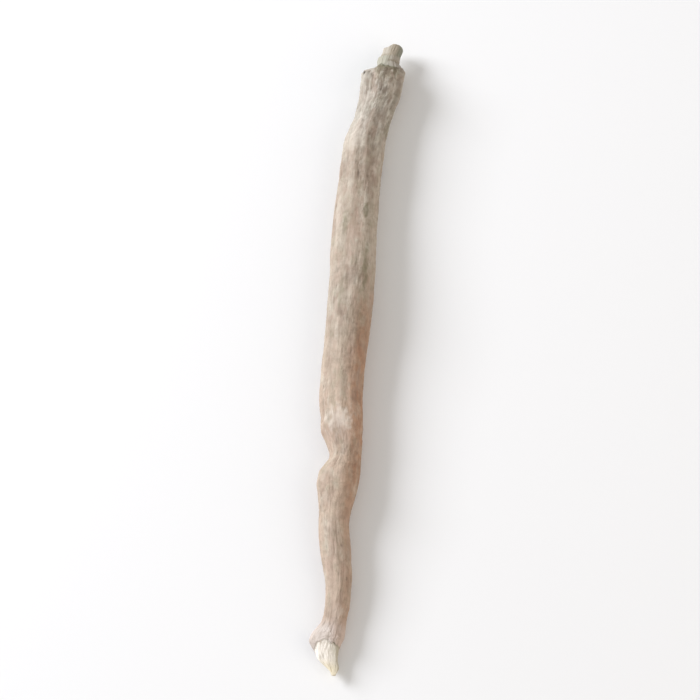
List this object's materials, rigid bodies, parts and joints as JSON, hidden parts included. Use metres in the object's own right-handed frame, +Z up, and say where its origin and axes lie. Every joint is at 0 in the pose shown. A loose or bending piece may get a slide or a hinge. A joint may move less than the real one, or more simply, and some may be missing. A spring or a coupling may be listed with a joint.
{
  "type": "dried ashwagandha root",
  "caption": "Dried ashwagandha root lying on its side: a long, slightly bowed, wrinkled buff root with a peeled stem stump at its crown and a torn pale tip.",
  "frame": {"origin": "on the surface the root rests on, below the middle of its bounding box", "axes": "+Y along the root from the torn tip to the crown, +X to the right seen from above, +Z up from the surface it rests on"},
  "size_m": [0.0116, 0.1308, 0.0088],
  "materials": {
    "root_bark": "matte dry bark, pale torn wood at the tip and grey-green peeled wood at the crown"
  },
  "bodies": {
    "root": {"root": "root_bark"}
  },
  "joints": []
}
